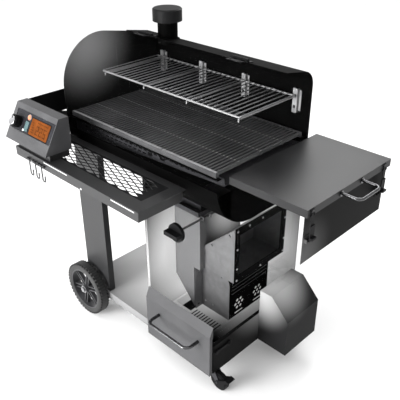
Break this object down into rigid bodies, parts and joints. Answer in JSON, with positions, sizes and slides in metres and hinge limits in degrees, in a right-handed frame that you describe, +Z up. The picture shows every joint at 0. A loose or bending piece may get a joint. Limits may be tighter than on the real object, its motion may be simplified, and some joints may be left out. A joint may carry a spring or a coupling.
{
  "type": "pellet smoker grill",
  "caption": "Barrel pellet smoker grill on a wheeled cart, with a side pellet hopper, firebox, slide-out ash drawer, front shelf and digital controller.",
  "frame": {"origin": "middle of the whole part's box, on the floor", "axes": "+X to the user's right towards the hopper, +Y to the back, +Z up"},
  "size_m": [1.322, 0.774, 1.299],
  "materials": {
    "black_steel": "semi-gloss powder coat",
    "dark_steel": "satin powder coat",
    "grey_steel": "satin powder coat",
    "cutaway_steel": "powder coat, drawn see-through to show the inside",
    "galvanised": "bright plated sheet",
    "chrome": "bright",
    "cast_grate": "satin",
    "zinc": "satin",
    "tyre": "moulded",
    "wheel_plastic": "satin",
    "black_plastic": "fine texture",
    "housing": "fine texture",
    "button": "translucent, lit",
    "fan_metal": "satin",
    "pot_steel": "heat tinted"
  },
  "bodies": {
    "cart": {"barrel_shell": "black_steel", "left_end_cap": "black_steel", "right_end_cap": "cutaway_steel", "lid_hinges": "black_steel", "chimney_stack": "black_steel", "rack_brackets": "chrome", "drip_tray": "black_steel", "left_legs": "black_steel", "bottom_shelf": "dark_steel", "wheel_axle": "zinc", "cabinet_panels": "dark_steel", "cabinet_cover": "cutaway_steel", "firebox_shell": "galvanised", "firebox_rim": "dark_steel", "burn_pot": "pot_steel", "throat_box": "galvanised", "hopper_flange": "black_steel", "blower_box": "black_steel", "arch_plate": "galvanised", "auger_motor": "cutaway_steel", "side_housing": "dark_steel", "hopper_shell": "black_steel", "hopper_body": "cutaway_steel", "shelf_frame": "black_steel", "shelf_mesh": "black_steel", "side_shelf": "black_steel", "controller_housing": "housing"},
    "lid": {"lid_skin": "cutaway_steel", "lid_handle": "cutaway_steel", "lid_hinge_straps": "black_steel"},
    "chimney_damper": {"chimney_cap": "black_steel"},
    "left_grate": {"grate_left": "cast_grate"},
    "middle_grate": {"grate_middle": "cast_grate"},
    "right_grate": {"grate_right": "cast_grate"},
    "rack": {"warming_rack": "chrome"},
    "front_road_wheel": {"front_wheel": "wheel_plastic", "front_tyre": "tyre"},
    "rear_road_wheel": {"rear_wheel": "wheel_plastic", "rear_tyre": "tyre"},
    "drawer": {"ash_drawer": "black_steel", "drawer_front": "grey_steel", "drawer_handle": "chrome"},
    "drawer_lever": {"drawer_latch": "black_plastic"},
    "sear_slide": {"sear_plate": "galvanised", "sear_knob": "black_plastic"},
    "fan": {"fan_impeller": "fan_metal"},
    "auger": {"auger_screw": "cutaway_steel"},
    "hopper_cover": {"hopper_lid": "black_steel", "hopper_handle": "chrome"},
    "front_draw_latch": {"front_latch": "zinc"},
    "rear_draw_latch": {"rear_latch": "zinc"},
    "dial": {"temperature_knob": "fan_metal"},
    "power_switch": {"power_button": "button"},
    "menu_switch": {"menu_rocker": "button"},
    "hooks": {"utensil_hooks": "zinc"},
    "front_caster": {"front_caster_fork": "zinc"},
    "rear_caster": {"rear_caster_fork": "zinc"},
    "front_caster_roller": {"front_caster_wheel": "black_plastic"},
    "rear_caster_roller": {"rear_caster_wheel": "black_plastic"},
    "brake": {"caster_brake": "black_plastic"}
  },
  "joints": [
    {"name": "lid_hinge", "type": "hinge", "parent": "cart", "child": "lid", "pos_m": [-0.434, 0.161, 1.20408], "axis": [-1, 0, 0], "range_deg": [0, 75]},
    {"name": "chimney_cap_slide", "type": "slide", "parent": "cart", "child": "chimney_damper", "axis": [0, 0, 1], "range_m": [0, 0.025]},
    {"name": "left_grate_lift", "type": "slide", "parent": "cart", "child": "left_grate", "axis": [0, 0, 1], "range_m": [0, 0.08]},
    {"name": "middle_grate_lift", "type": "slide", "parent": "cart", "child": "middle_grate", "axis": [0, 0, 1], "range_m": [0, 0.08]},
    {"name": "right_grate_lift", "type": "slide", "parent": "cart", "child": "right_grate", "axis": [0, 0, 1], "range_m": [0, 0.08]},
    {"name": "rack_slide", "type": "slide", "parent": "cart", "child": "rack", "axis": [0, -1, 0], "range_m": [0, 0.12]},
    {"name": "front_wheel_spin", "type": "hinge", "parent": "cart", "child": "front_road_wheel", "pos_m": [-0.478, -0.212, 0.124], "axis": [0, 1, 0], "continuous": true},
    {"name": "rear_wheel_spin", "type": "hinge", "parent": "cart", "child": "rear_road_wheel", "pos_m": [-0.478, 0.356, 0.124], "axis": [0, 1, 0], "continuous": true},
    {"name": "drawer_slide", "type": "slide", "parent": "cart", "child": "drawer", "axis": [0, -1, 0], "range_m": [0, 0.3]},
    {"name": "drawer_lever_turn", "type": "hinge", "parent": "cart", "child": "drawer_lever", "pos_m": [0.264, -0.091, 0.197], "axis": [-1, 0, 0], "range_deg": [0, 80]},
    {"name": "sear_pull", "type": "slide", "parent": "cart", "child": "sear_slide", "axis": [0, -1, 0], "range_m": [0, 0.095]},
    {"name": "fan_spin", "type": "hinge", "parent": "cart", "child": "fan", "pos_m": [0.109, 0.029, 0.3], "axis": [1, 0, 0], "continuous": true},
    {"name": "auger_turn", "type": "hinge", "parent": "cart", "child": "auger", "pos_m": [0.074, 0.087, 0.485], "axis": [1, 0, 0], "continuous": true},
    {"name": "hopper_lid_hinge", "type": "hinge", "parent": "cart", "child": "hopper_cover", "pos_m": [0.301, 0.095, 0.932], "axis": [0, -1, 0], "range_deg": [0, 94]},
    {"name": "front_latch_swing", "type": "hinge", "parent": "cart", "child": "front_draw_latch", "pos_m": [0.586, -0.117, 0.828], "axis": [0, 1, 0], "range_deg": [0, 115]},
    {"name": "rear_latch_swing", "type": "hinge", "parent": "cart", "child": "rear_draw_latch", "pos_m": [0.586, 0.287, 0.828], "axis": [0, 1, 0], "range_deg": [0, 115]},
    {"name": "temperature_dial", "type": "hinge", "parent": "cart", "child": "dial", "pos_m": [-0.611, -0.34896, 0.9288], "axis": [0, -0.8657, 0.5005], "range_deg": [-135, 135]},
    {"name": "power_press", "type": "slide", "parent": "cart", "child": "power_switch", "axis": [0, 0.8657, -0.5005], "range_m": [0, 0.002], "stiffness_N_per_m": 800},
    {"name": "menu_rock", "type": "hinge", "parent": "cart", "child": "menu_switch", "pos_m": [-0.5525, -0.347, 0.9242], "axis": [1, 0, 0], "range_deg": [-3, 3], "stiffness_Nm_per_rad": 0.5},
    {"name": "hook_swing", "type": "hinge", "parent": "cart", "child": "hooks", "pos_m": [-0.516, -0.38, 0.813], "axis": [-1, 0, 0], "range_deg": [0, 60]},
    {"name": "front_caster_swivel", "type": "hinge", "parent": "cart", "child": "front_caster", "pos_m": [0.238, -0.144, 0.087], "axis": [0, 0, 1], "continuous": true},
    {"name": "front_caster_spin", "type": "hinge", "parent": "front_caster", "child": "front_caster_roller", "pos_m": [0.272, -0.144, 0.04], "axis": [0, 1, 0], "continuous": true},
    {"name": "rear_caster_swivel", "type": "hinge", "parent": "cart", "child": "rear_caster", "pos_m": [0.238, 0.287, 0.087], "axis": [0, 0, 1], "continuous": true},
    {"name": "rear_caster_spin", "type": "hinge", "parent": "rear_caster", "child": "rear_caster_roller", "pos_m": [0.272, 0.287, 0.04], "axis": [0, 1, 0], "continuous": true},
    {"name": "brake_press", "type": "hinge", "parent": "front_caster", "child": "brake", "pos_m": [0.272, -0.144, 0.04], "axis": [0, 1, 0], "range_deg": [0, 12]}
  ]
}
